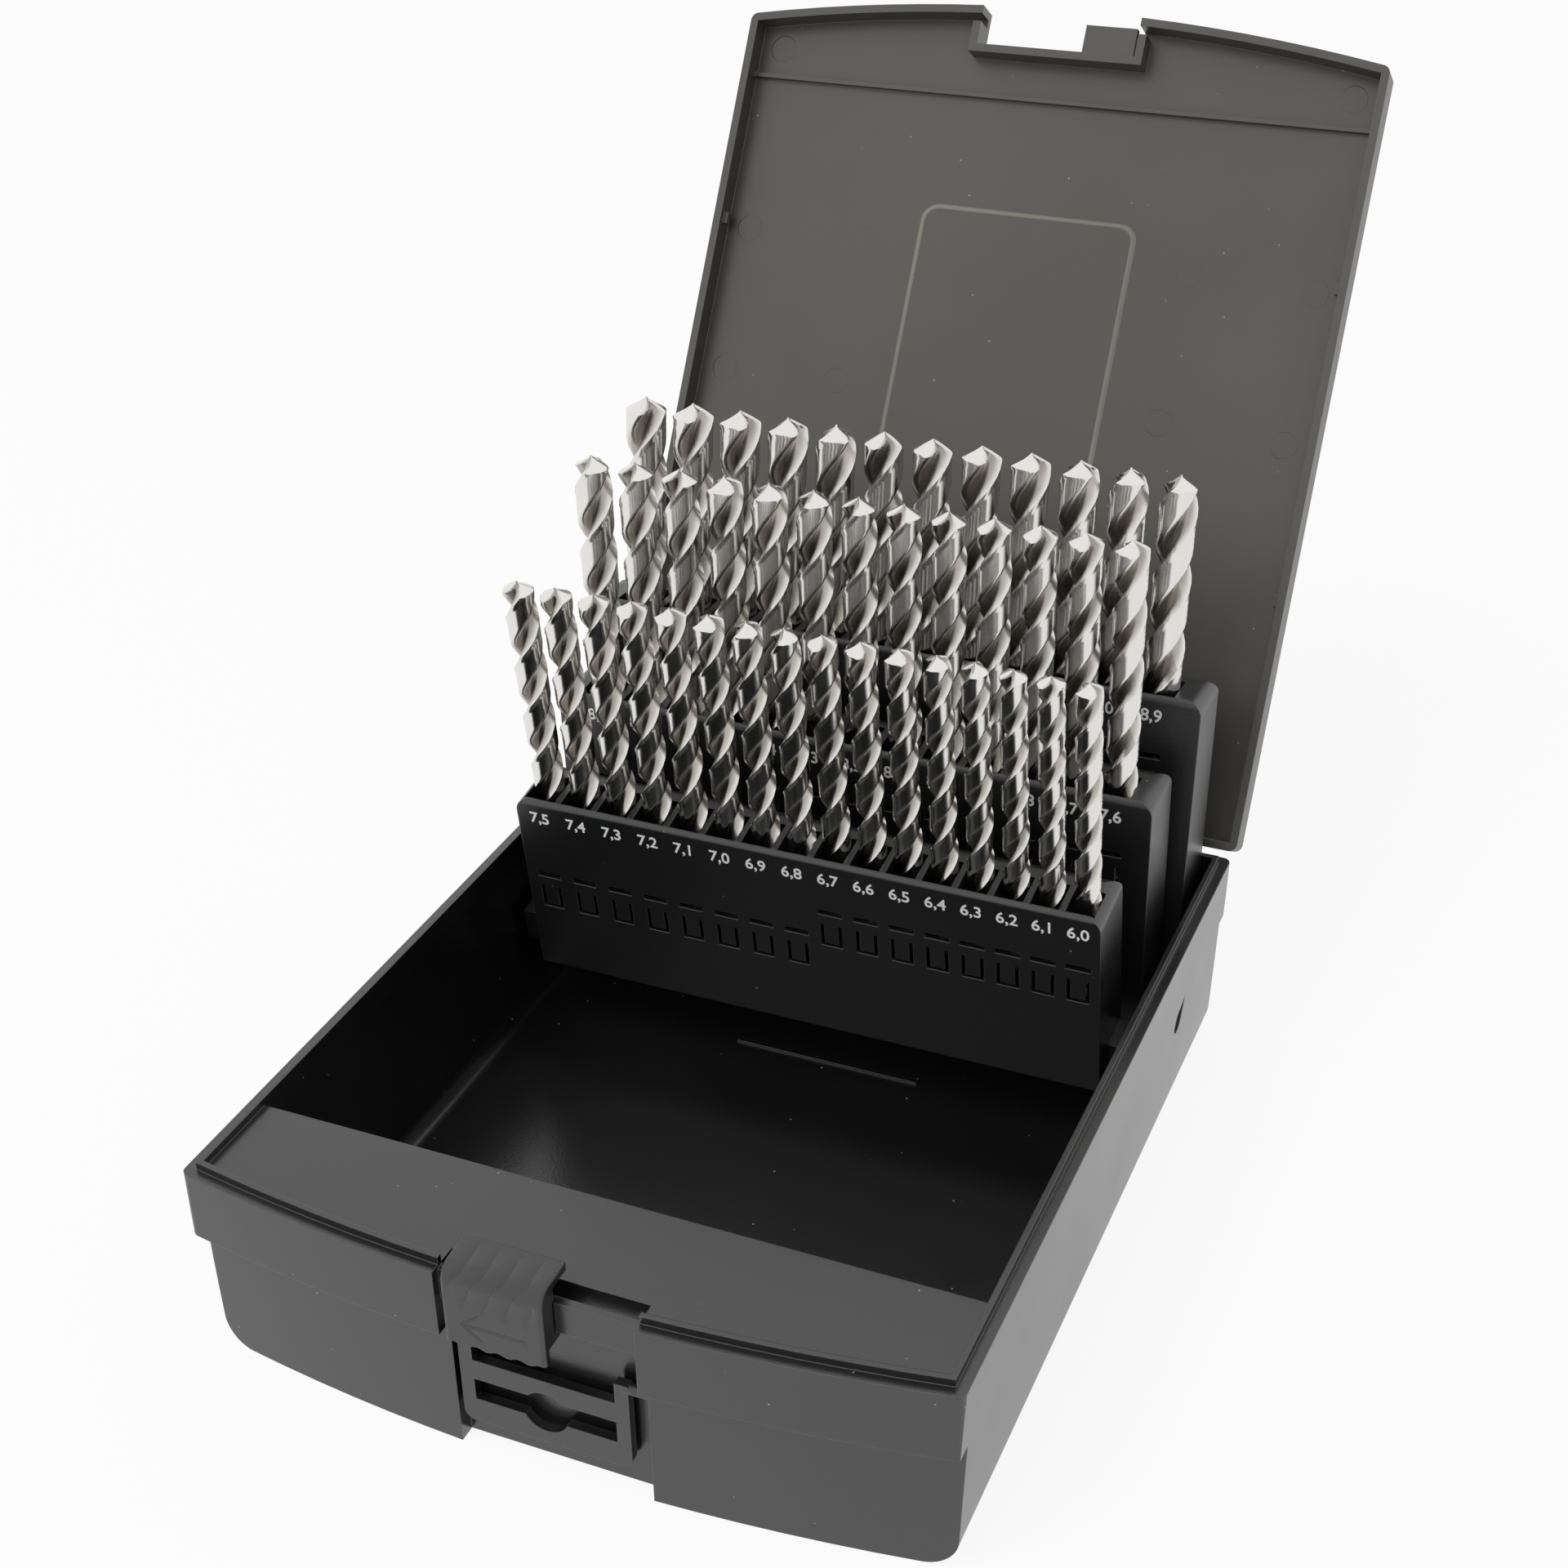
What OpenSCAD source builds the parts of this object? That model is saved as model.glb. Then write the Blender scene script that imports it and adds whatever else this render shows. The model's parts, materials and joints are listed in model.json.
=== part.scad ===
// Hinged plastic drill case with three racks of twist drills that fold down as the lid closes.
// Millimetres, +Z up. The origin is the middle of the case's underside and the front faces -Y.
// It is drawn open: lid back, racks upright, catch slid to the left, hanger tab folded in.

/* [Case] */
// Width over the side walls at the rim
case_w = 168; // [160:1:190]
// Depth from the front corners to the back
case_d = 193; // [192:1:215]
// Height of the ledge that the lid sits on
base_h = 48; // [46:0.5:60]
// How far the front bows out at its middle
front_bow = 7.5; // [4:0.5:12]
// Wall of the base
wall = 2.2; // [1.8:0.1:2.6]
// How far the side walls lean in from rim to floor
side_draft = 1.6; // [0.5:0.1:2.5]
// Radius along the lower side edges
bottom_r = 7; // [4:0.5:9]
// Radius of the upright corners
corner_r = 2; // [1:0.25:3]
// Height of the proud band under the rim
skirt_h = 16; // [12:0.5:18]
// How far that band stands proud at front and back
skirt_step = 4; // [2:0.25:4.5]
// Depth of the flat shelf inside the front
shelf_d = 25; // [18:0.5:28]
// Width of the ledge outside the lip
ledge_w = 2.5; // [2.3:0.1:3]
// Thickness of the lip
lip_t = 1.2; // [0.8:0.1:1.6]
// Height of the lip above the ledge
lip_h = 1.8; // [1:0.1:2.5]

/* [Lid] */
// Height of the lid
lid_h = 8; // [7.8:0.1:12]
// Wall of the lid
lid_wall = 2; // [1.6:0.1:2.3]
// Thickness of the lid's plate
lid_plate = 2; // [1.6:0.1:2]
// Angle that the lid opens to
lid_open = 121.5; // [95:0.5:122]
// Half width of the notch for the catch
notch_half = 20.8; // [18:0.1:21.3]
// Depth of that notch behind the front
notch_d = 10.3; // [9.6:0.1:12]
// Half width of the raised panel in the lid
panel_half = 28; // [20:1:40]
// Raised panel: distance of its front edge behind the front corners
panel_front = 44; // [30:1:60]
// Length of the raised panel
panel_len = 106; // [60:1:120]
// Height of the raised panel
panel_rise = 0.3; // [0.1:0.05:0.3]

/* [Hinge] */
// Distance of the hinge axis behind the back wall
hinge_out = 2; // [1.5:0.1:2.2]
// Distance of the hinge axis below the rim
hinge_drop = 1.6; // [1:0.1:2]
// Radius of a hinge knuckle
knuckle_r = 3.2; // [2.8:0.1:4]
// Radius of a hinge pin
hinge_pin_r = 1.25; // [0.8:0.05:1.6]
// Width of one knuckle
knuckle_w = 8; // [5:0.5:12]
// Distance of each hinge from the case's side
hinge_inset = 32; // [19:1:54]

/* [Racks] */
// Number of drills in each rack, front to rear
rack_count = [16, 13, 12];
// Largest drill in each rack
rack_largest = [7.5, 8.8, 10];
// Step between drill sizes
size_step = 0.1; // [0.05:0.05:0.1]
// Distance of each rack's ends from the case's sides
rack_inset = [12.5, 10, 6.5];
// Plastic between each rack's ends and its outer drills
drill_end = [2.125, 5.7, 7.05];
// Thickness of a rack
rack_t = 16.5; // [15:0.1:16.5]
// Distance of each rack's top front edge from the case's back
rack_to_back = [71, 42, 16.2];
// Height of each rack's top front edge
rack_top = [71, 84.5, 97.5];
// Forward lean of each rack
rack_lean = [8, 2, -5];
// Height of the drill tips above each rack, along the drills
tip_rise = [58, 61, 51];
// Distance of the drill axes behind a rack's front face
drill_set = 6.5; // [6.5:0.1:7]
// Floor under the longest drill
well_floor = 1.2; // [0.8:0.1:2]
// Clearance round a shank in its well
well_gap = 0.3; // [0.2:0.05:0.4]
// Front wall of a well
well_front = 1.2; // [0.8:0.1:1.2]
// Height of the lowest folded rack above the case's floor
fold_gap = 1.3; // [1.2:0.1:1.6]
// Gap between folded racks
stack_gap = 0.2; // [0.1:0.05:0.3]
// Distance of each folded rack's underside from the case's back
fold_to_back = [36, 26, 15];
// Radius of the rear top edge of a rack
rack_r = 4; // [1:0.5:5]
// Radius of a rack's pivot pins
pivot_r = [2.8, 1.5, 1.5];

/* [Catch] */
// Width of the catch
catch_w = 22; // [20:0.5:24]
// Travel of the catch
catch_travel = 17; // [14:0.5:17]
// Left end of the catch when it is open
catch_x = -18.5; // [-19.5:0.1:-18]
// Height of the catch over the ledge
catch_rise = 4.6; // [4.4:0.1:5]
// How far the catch hangs below the ledge
catch_drop = 14; // [12.5:0.5:15]
// Thickness of the catch's top plate
catch_plate = 2; // [1.6:0.1:2]
// Half width of the recess for catch and hanger
recess_half = 21.5; // [21.5:0.1:24]
// Depth of the recess behind the front
recess_d = 8.2; // [8:0.1:9]
// Radius of the catch's front edge
catch_r = 4; // [2:0.5:4]

/* [Hanger] */
// Width of the hanger tab
tab_w = 37.5; // [30:0.5:40]
// Height of the tab's hinge above the underside
tab_z = 27; // [25:0.5:29]
// Lower edge of the tab above the underside
tab_low = 6.5; // [4:0.5:8]
// Thickness of the tab
tab_t = 2.2; // [1.8:0.1:2.4]
// Radius of the tab's hinge stubs
stub_r = 1.2; // [0.9:0.1:1.3]

/* [Hidden] */
$fn = 64;
RUN = 0.05;
OVER = 1;
y_front = -case_d / 2;
y_back = case_d / 2;
hinge_y = y_back + hinge_out;
hinge_z = base_h - hinge_drop;
hinge_x = case_w / 2 - hinge_inset;
y_crest = y_front - front_bow;
bow_r = (case_w * case_w / 4 + front_bow * front_bow) / (2 * front_bow);
bow_y = y_crest + bow_r;
skirt_z = base_h - skirt_h;
lid_top = base_h + lid_h;
rack_n = len(rack_count);
rack_half = [for (inset = rack_inset) case_w / 2 - inset];
// What the drills of a rack leave of its width is shared out between them.
drill_gap = [for (row = [0 : rack_n - 1]) let (n = rack_count[row])
    (2 * (rack_half[row] - drill_end[row]) - n * rack_largest[row] + size_step * n * (n - 1) / 2) / (n - 1)];

function drill_d(row, i) = rack_largest[row] - size_step * i;
function length_step(d) = d < 6.05 ? 0 : d < 6.75 ? 1 : d < 7.55 ? 2 : d < 8.55 ? 3 : d < 9.55 ? 4 : 5;
function drill_len(d) = 93 + 8 * length_step(d);
function flute_len(d) = 57 + 6 * length_step(d);
function row_run(row, i) = i * (drill_gap[row] + rack_largest[row]) - size_step * i * i / 2;
function row_left(row) =
    -(row_run(row, rack_count[row] - 1) + drill_d(row, rack_count[row] - 1) / 2 - drill_d(row, 0) / 2) / 2;
function drill_x(row, i) = row_left(row) + row_run(row, i);
function well_depth(row, i) = drill_len(drill_d(row, i)) - tip_rise[row] + well_gap;
function two_digits(d) = str(floor(d + 0.001), "_", round(d * 10) % 10);
function drill_node(row, i) = str("drill_", two_digits(drill_d(row, i)));

rack_h = [for (row = [0 : rack_n - 1]) well_depth(row, 0) + well_floor];
rack_foot = [for (row = [0 : rack_n - 1]) [
    y_back - rack_to_back[row] + rack_h[row] * sin(rack_lean[row]),
    rack_top[row] - rack_h[row] * cos(rack_lean[row])]];
fold_z = [for (row = [0 : rack_n - 1]) wall + fold_gap + row * (rack_t + stack_gap)];
fold_turn = [for (row = [0 : rack_n - 1]) 90 - rack_lean[row]];
fold_foot = [for (row = [0 : rack_n - 1]) [y_back - fold_to_back[row], fold_z[row]]];
// The pivot is the point that carries a rack from upright to folded in one turn.
pivot = [for (row = [0 : rack_n - 1]) let (a = rack_foot[row], b = fold_foot[row], d = b - a)
    (a + b) / 2 + [-d[1], d[0]] / (2 * tan(fold_turn[row] / 2))];
// The same pivot in the rack's own axes, back from its front face and up from its foot.
pivot_own = [for (row = [0 : rack_n - 1]) let (d = pivot[row] - rack_foot[row], a = rack_lean[row])
    [d[0] * cos(a) + d[1] * sin(a), -d[0] * sin(a) + d[1] * cos(a)]];

black = [0.10, 0.10, 0.105];
steel = [0.74, 0.74, 0.73];

// The region outside a round corner of radius r, as wide as the corner itself.
module corner_waste(r) {
    difference() {
        translate([-OVER, -OVER]) square(r + OVER);
        translate([r, r]) circle(r = r);
    }
}

// A rectangle from the origin, with a radius for each corner: front foot, rear foot, rear top, front top.
module soft_rect(size, radii) {
    difference() {
        square(size);
        if (radii[0] > 0) corner_waste(radii[0]);
        if (radii[1] > 0) translate([size[0], 0]) mirror([1, 0]) corner_waste(radii[1]);
        if (radii[2] > 0) translate(size) mirror([1, 0]) mirror([0, 1]) corner_waste(radii[2]);
        if (radii[3] > 0) translate([0, size[1]]) mirror([0, 1]) corner_waste(radii[3]);
    }
}

// What a round front corner leaves out between the side and the bowed front.
module bow_corner_waste(side, front, r) {
    c = [case_w / 2 - side - r, bow_y - sqrt(pow(bow_r - front - r, 2) - pow(case_w / 2 - side - r, 2))];
    out = (c - [0, bow_y]) / norm(c - [0, bow_y]);
    difference() {
        polygon([c, c + [r + OVER, 0], c + [r + OVER, -r - 3 * OVER], c + out * (r + 2 * OVER)]);
        translate(c) circle(r = r);
    }
}

// The case's outline seen from above, drawn in from the sides, the front and the back.
module outline(side, front, back, r = 0) {
    difference() {
        intersection() {
            translate([side - case_w / 2, y_crest - OVER])
                square([case_w - 2 * side, case_d + front_bow + OVER - back]);
            translate([0, bow_y]) circle(r = bow_r - front, $fn = 720);
        }
        if (r > 0) for (hand = [0, 1]) mirror([hand, 0]) {
            bow_corner_waste(side, front, r);
            translate([case_w / 2 - side, y_back - back]) mirror([1, 0]) mirror([0, 1]) corner_waste(r);
        }
    }
}

// The case's cross-section, with leaning sides and round lower edges.
module section(inset, low) {
    half_low = case_w / 2 - side_draft - inset;
    half_top = case_w / 2 - inset;
    r = bottom_r - inset;
    polygon([[r - half_low, low], [half_low - r, low], [half_low, low + r], [half_top, base_h],
        [half_top, 2 * base_h], [-half_top, 2 * base_h], [-half_top, base_h], [-half_low, low + r]]);
    for (hand = [-1, 1]) translate([hand * (half_low - r), low + r]) circle(r = r);
}

module along_depth(inset, low) {
    rotate([90, 0, 0]) linear_extrude(height = 2 * case_d, center = true) section(inset, low);
}

// A cylinder along X from x0 to x1.
module rod(x0, x1, y, z, r) {
    translate([x0, y, z]) rotate([0, 90, 0]) cylinder(h = x1 - x0, r = r);
}

module slab(low, high) {
    translate(low) cube(high - low);
}

// Base
tray_y = y_front + shelf_d;
lip_in = ledge_w + lip_t;
rim_t = 4;
chamber_half = case_w / 2 - side_draft - bottom_r - wall;
recess_y = y_crest + recess_d;
recess_side = 3;
web_x = case_w / 2 - 36;
web_t = 1.8;
inner_half = case_w / 2 - wall;
pin_boss_r = 3.9;
pin_boss_t = 2.4;
lug_gap = 0.4;
lug_t = 2.8;
lug_out = inner_half - pin_boss_t - lug_gap;
lug_in = lug_out - lug_t;
pin_end = inner_half + 0.8;
seat_in = 3.5;
pin_start = [lug_in, rack_half[1] - seat_in, lug_in];
hole_reach = 6.6;
hole_rise = 42;
rail_y = y_crest + 2.5;
rail_t = 2;
rail_z = base_h - 8;
rail_top = base_h - 0.6;
floor_rib = [-23, 24, 137.7];
floor_rib_t = 2;
floor_rib_h = 0.6;
tab_y = y_crest + 6;
tab_x = -1.75;
stub_in = 2.2;
hinge_clear = 0.4;
knuckle_gap = 0.3;
gusset_h = 6.5;
gusset_t = 0.2;

// The tray behind the shelf, narrower where the rim is thickened.
module tray_space() {
    intersection() {
        union() {
            slab([-case_w, tray_y, wall], [case_w, y_back - skirt_step - wall, base_h]);
            slab([-case_w, tray_y, skirt_z + wall], [case_w, y_back - wall, base_h]);
        }
        along_depth(wall, wall);
        slab([-case_w, tray_y, 0], [case_w, y_back, base_h - rim_t]);
    }
    translate([0, 0, base_h - rim_t]) linear_extrude(rim_t + OVER) intersection() {
        outline(lip_in, lip_in, lip_in);
        translate([-case_w, tray_y]) square([2 * case_w, case_d]);
    }
}

module recess_box(grow) {
    slab([-recess_half - grow, y_crest - OVER, -OVER],
        [recess_half + grow, recess_y + (grow > 0 ? wall : 0), base_h + lip_h + OVER]);
}

// The hollow under the shelf, open below, which leaves its webs and the walls of the recess.
module shelf_space() {
    difference() {
        intersection() {
            union() {
                translate([0, 0, -OVER])
                    linear_extrude(skirt_z + wall + OVER) outline(wall, skirt_step + wall, 0);
                translate([0, 0, skirt_z + wall])
                    linear_extrude(skirt_h - 2 * wall) outline(wall, wall, 0);
            }
            slab([-chamber_half, y_crest, -2 * OVER], [chamber_half, tray_y - wall, base_h]);
        }
        recess_box(recess_side);
        for (hand = [-1, 1]) translate([hand * web_x - web_t / 2, y_crest, 0]) cube([web_t, case_d, base_h]);
    }
}

// A round hole drawn out to a point towards the upper rear.
module teardrop(r, reach, rise) {
    a = acos(r / reach);
    circle(r = r);
    rotate(rise) polygon([[0, 0], r * [cos(a), -sin(a)], [reach, 0], r * [cos(a), sin(a)]]);
}

// A knuckle of the lid's hinge with the gusset that joins it to the wall above or below it.
module knuckle(x0, x1, up) {
    foot = up > 0 ? hinge_drop + gusset_t : -OVER;
    rod(x0, x1, hinge_y, hinge_z, knuckle_r);
    translate([x0, hinge_y, hinge_z]) rotate([90, 0, 90]) linear_extrude(x1 - x0)
        polygon([[-hinge_out - lid_wall / 2, foot], [0, 0], [0.9 * knuckle_r, 0],
            [gusset_t - hinge_out, foot + up * gusset_h],
            [-hinge_out - lid_wall / 2, foot + up * gusset_h]]);
}

module both_hinges() {
    for (hand = [0, 1]) mirror([hand, 0, 0]) translate([hinge_x, 0, 0]) children();
}

module base_block() {
    intersection() {
        union() {
            linear_extrude(skirt_z + OVER) outline(0, skirt_step, skirt_step, corner_r);
            translate([0, 0, skirt_z]) linear_extrude(skirt_h) outline(0, 0, 0, corner_r);
        }
        along_depth(0, 0);
    }
    translate([0, 0, base_h - OVER]) linear_extrude(lip_h + OVER) outline(ledge_w, ledge_w, ledge_w);
}

// The lip keeps its height only along its own width, so the shelf inside it is level with the ledge.
module shelf_top() {
    translate([0, 0, base_h]) linear_extrude(lip_h + OVER) outline(lip_in, lip_in, lip_in);
}

module pin_bores(row, grow) {
    rod(pin_start[row], pin_end, pivot[row][0], pivot[row][1], pivot_r[row] + grow);
}

module base_shell() {
    color(black) difference() {
        union() {
            difference() {
                base_block();
                tray_space();
                shelf_top();
                shelf_space();
                recess_box(0);
            }
            slab([-recess_half - OVER, rail_y, rail_z], [recess_half + OVER, rail_y + rail_t, rail_top]);
            for (hand = [0, 1]) mirror([hand, 0, 0]) for (row = [0 : rack_n - 1])
                rod(lug_out + lug_gap, inner_half, pivot[row][0], pivot[row][1], pin_boss_r);
            slab([floor_rib[0], y_front + floor_rib[2], wall / 2],
                [floor_rib[1], y_front + floor_rib[2] + floor_rib_t, wall + floor_rib_h]);
            both_hinges() {
                knuckle(-1.5 * knuckle_w, -0.5 * knuckle_w, -1);
                knuckle(0.5 * knuckle_w, 1.5 * knuckle_w, -1);
            }
        }
        both_hinges() {
            rod(-0.5 * knuckle_w, 0.5 * knuckle_w, hinge_y, hinge_z, knuckle_r + hinge_clear);
            rod(-2 * knuckle_w, 2 * knuckle_w, hinge_y, hinge_z, hinge_pin_r);
        }
        for (hand = [0, 1]) mirror([hand, 0, 0]) {
            for (row = [1 : rack_n - 1]) pin_bores(row, 0);
            translate([lug_out, pivot[0][0], pivot[0][1]]) rotate([90, 0, 90])
                linear_extrude(case_w / 2) teardrop(pivot_r[0], hole_reach, hole_rise);
        }
        rod(-recess_half - stub_in, recess_half + stub_in, tab_y, tab_z, stub_r + RUN);
    }
}

// Lid
notch_y = y_crest + notch_d;
lip_clear = 0.9;
rib_y = y_front + 14;
rib_t = 1.2;
rib_h = 1.6;
clip_y = [54, 131];
clip_size = [1.2, 3, 2];
block_x = [catch_x + catch_w + 3.5, catch_x + catch_w + catch_travel - 0.2];
block_z = base_h + 0.3;
block_t = 2;
block_y = y_crest + 3.3;

module lid_panel(h) {
    linear_extrude(h) translate([-panel_half, y_front + panel_front])
        soft_rect([2 * panel_half, panel_len], [4, 4, 4, 4]);
}

module lid_closed() {
    inside = lid_top - lid_plate;
    difference() {
        union() {
            difference() {
                union() {
                    difference() {
                        translate([0, 0, base_h]) linear_extrude(lid_h) outline(0, 0, 0, corner_r);
                        translate([0, 0, base_h - OVER]) linear_extrude(lid_h - lid_plate + OVER)
                            outline(lid_wall, lid_wall, lid_wall);
                    }
                    slab([-notch_half - lid_wall, y_crest + lip_in + lip_clear, base_h],
                        [notch_half + lid_wall, notch_y + lid_wall, inside + OVER / 2]);
                    slab([lid_wall / 2 - case_w / 2, rib_y, inside - rib_h],
                        [case_w / 2 - lid_wall / 2, rib_y + rib_t, inside + OVER / 2]);
                    translate([0, 0, inside - panel_rise]) lid_panel(panel_rise + OVER / 2);
                    for (hand = [-1, 1]) for (y = clip_y)
                        translate([hand * (case_w / 2 - lid_wall), y_front + y, base_h + lip_h + OVER])
                            cube(2 * [clip_size[0], clip_size[1] / 2, clip_size[2] / 2], center = true);
                }
                slab([-notch_half, y_crest - OVER, base_h - OVER], [notch_half, notch_y, lid_top + OVER]);
                translate([0, 0, lid_top - panel_rise]) lid_panel(panel_rise + OVER);
                both_hinges() for (hand = [0, 1]) mirror([hand, 0, 0])
                    rod(0.5 * knuckle_w - knuckle_gap, 1.5 * knuckle_w + knuckle_gap,
                            hinge_y, hinge_z, knuckle_r + hinge_clear);
            }
            slab([block_x[0], block_y, block_z], [block_x[1], notch_y + lid_wall / 2, block_z + block_t]);
            both_hinges() knuckle(knuckle_gap - 0.5 * knuckle_w, 0.5 * knuckle_w - knuckle_gap, 1);
        }
        both_hinges() rod(-2 * knuckle_w, 2 * knuckle_w, hinge_y, hinge_z, hinge_pin_r + RUN);
    }
}

module lid() {
    color(black) translate([0, hinge_y, hinge_z]) rotate([-lid_open, 0, 0])
        translate([0, -hinge_y, -hinge_z]) lid_closed();
}

module hinge_pin(hand) {
    color(steel) rod(hand * hinge_x - 1.5 * knuckle_w, hand * hinge_x + 1.5 * knuckle_w,
        hinge_y, hinge_z, hinge_pin_r);
}

// Racks
slit_drop = [22.5, 15];
slit_w = 6;
slit_h = 1.4;
slit_split = [6.75, 8.55, 9.55];
tongue_drop = 10;
tongue_h = 6.5;
tongue_half = 2.65;
tongue_slit = 0.9;
end_r = 3.5;
foot_r = 1.5;
lug_r = [4.4, 0, 3.1];
arm_half = 5;
rack_clear = 0.3;
behind_y = y_back - skirt_step - wall - rack_clear;
swing_r = [for (row = [0 : rack_n - 1]) behind_y - pivot[row][0]];

// A rack's section, cut back below its pivot to swing clear of the lower back wall.
module rack_profile(row) {
    difference() {
        intersection() {
            soft_rect([rack_t, rack_h[row]], [foot_r, foot_r, rack_r, foot_r]);
            union() {
                translate(pivot_own[row]) circle(r = swing_r[row]);
                translate([-rack_t, pivot_own[row][1]]) square([3 * rack_t, rack_h[row]]);
            }
        }
        rotate(-rack_lean[row]) translate([behind_y, -case_d] - rack_foot[row])
            square([case_d, case_d + skirt_z + wall + OVER]);
    }
}

// The arm that carries a rack's pivot lug, drawn in the rack's own section.
module rack_arm(row) {
    p = pivot_own[row];
    root = max(arm_half, min(rack_t - arm_half, p[0]));
    intersection() {
        union() {
            translate(p) circle(r = lug_r[row]);
            polygon([p - [0, lug_r[row]], p + [0, lug_r[row]],
                [root, p[1] + arm_half], [root, p[1] - arm_half]]);
            translate([root - arm_half, p[1] - arm_half]) square(2 * arm_half);
        }
        translate([-2 * rack_t, foot_r]) square([5 * rack_t, rack_h[row]]);
    }
}

module drill_openings(row, i) {
    d = drill_d(row, i);
    x = drill_x(row, i);
    h = rack_h[row];
    drop = d > slit_split[row] ? slit_drop[0] : slit_drop[1];
    foot = h - drop - tongue_drop;
    through = well_front + OVER;
    slab([x - d / 2 - well_gap, well_front, h - well_depth(row, i)],
        [x + d / 2 + well_gap, drill_set + d / 2 + well_gap, h + OVER]);
    slab([x - slit_w / 2, -OVER, h - drop - slit_h / 2], [x + slit_w / 2, through, h - drop + slit_h / 2]);
    slab([x - tongue_half, -OVER, foot], [x + tongue_half, through, foot + tongue_slit]);
    for (edge = [-tongue_half, tongue_half - tongue_slit]) translate([x + edge, -OVER, foot])
        cube([tongue_slit, through + OVER, tongue_h]);
}

module in_rack(row) {
    translate([0, rack_foot[row][0], rack_foot[row][1]]) rotate([rack_lean[row], 0, 0]) children();
}

module rack_block(row) {
    half = rack_half[row];
    intersection() {
        rotate([90, 0, 90]) linear_extrude(2 * half, center = true) rack_profile(row);
        translate([-half, 2 * rack_t, 0]) rotate([90, 0, 0]) linear_extrude(3 * rack_t)
            soft_rect([2 * half, rack_h[row]], [foot_r, foot_r, end_r, end_r]);
    }
}

// The right-hand bore for a rack's pin.
module rack_bore(row) {
    rod(pin_start[row] - (lug_r[row] > 0 ? OVER : 0), lug_out + OVER,
        pivot_own[row][0], pivot_own[row][1], pivot_r[row] + RUN);
}

module rack(row) {
    color(black) in_rack(row) difference() {
        rack_block(row);
        for (i = [0 : rack_count[row] - 1]) drill_openings(row, i);
        if (lug_r[row] == 0) for (hand = [0, 1]) mirror([hand, 0, 0]) rack_bore(row);
    }
}

// The arms of a rack that turns beside its own block, which they meet face to face.
module rack_arms(row) {
    half = rack_half[row];
    color(black) in_rack(row) for (hand = [0, 1]) mirror([hand, 0, 0]) difference() {
        union() {
            translate([lug_in, 0, 0]) rotate([90, 0, 90]) linear_extrude(lug_t) rack_arm(row);
            if (half < lug_in) translate([half, 0, 0]) rotate([90, 0, 90]) linear_extrude(lug_out - half)
                intersection() {
                    rack_arm(row);
                    translate([OVER, foot_r]) square([rack_t - 2 * OVER, rack_h[row]]);
                }
        }
        if (half > lug_in) rack_block(row);
        rack_bore(row);
    }
}

module rack_pins(row) {
    color(black) for (hand = [0, 1]) mirror([hand, 0, 0]) pin_bores(row, 0);
}

// Drills
drill_points = 10;
flute_rings = 14;
flute_pitch = 4.5;
point_angle = 59;
tip_share = 0.12;
// One land and one flute: angle round the drill and share of its radius.
lobe = [[0, 1], [30, 0.97], [62, 0.94], [98, 0.48], [140, 0.5]];

function ring(r, z, turn, flute) = [for (k = [0 : drill_points - 1])
    let (q = lobe[k % len(lobe)], a = q[0] + 180 * floor(k / len(lobe)) + turn,
        s = r * (1 - (1 - q[1]) * flute))
    [s * cos(a), s * sin(a), z]];

module drill(row, i) {
    d = drill_d(row, i);
    length = drill_len(d);
    start = length - flute_len(d);
    lip = length - d / 2 / tan(point_angle);
    turn = 360 / (flute_pitch * d);
    rings = concat(
        [ring(d / 2, 0, 0, 0), ring(d / 2, start - d / 4, 0, 0)],
        [for (k = [0 : flute_rings]) let (z = start + d / 4 + (lip - start - d / 4) * k / flute_rings)
            ring(d / 2, z, turn * (z - start), 1)],
        [ring(d / 2 * tip_share, length, turn * (length - start), 1)]);
    n = drill_points;
    last = len(rings) - 1;
    sides = [for (j = [0 : last - 1]) for (k = [0 : n - 1]) let (a = j * n + k, b = j * n + (k + 1) % n)
        each [[a, a + n, b + n], [a, b + n, b]]];
    caps = [[for (k = [0 : n - 1]) k], [for (k = [n - 1 : -1 : 0]) last * n + k]];
    color(steel) in_rack(row)
        translate([drill_x(row, i), drill_set, rack_h[row] - well_depth(row, i) + well_gap])
            polyhedron(points = [for (r = rings) each r], faces = concat(sides, caps), convexity = 6);
}

// Catch
catch_top = base_h + catch_rise;
catch_face = y_crest - 2;
catch_skin = 1.8;
catch_reach = 8.4;
catch_heel = 2.9;
hook_gap = 0.3;
hook_h = 5;
hook_t = 1.3;
foot_t = 2;

module latch_slider() {
    back = y_crest + catch_reach;
    arm = rail_y + rail_t + hook_gap;
    heel = y_crest + catch_heel;
    front = rail_y - hook_gap;
    low = rail_z - hook_gap;
    color(black) translate([catch_x, 0, 0]) rotate([90, 0, 90]) linear_extrude(catch_w) difference() {
        polygon([[catch_face, base_h - catch_drop], [catch_face, catch_top], [back, catch_top],
            [back, catch_top - catch_plate], [heel, catch_top - catch_plate], [heel, rail_top + hook_gap],
            [front, rail_top + hook_gap], [front, low], [arm, low], [arm, rail_z + hook_h],
            [arm + hook_t, rail_z + hook_h], [arm + hook_t, low - foot_t], [catch_face + catch_skin, low - foot_t],
            [catch_face + catch_skin, base_h - catch_drop]]);
        translate([catch_face, catch_top]) mirror([0, 1]) corner_waste(catch_r);
    }
}

// Hanger
post_w = 3;
crossbar = [18, 23];
slot_low = 12.6;
slot_r = 5;
stub_end = 0.2;

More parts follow.
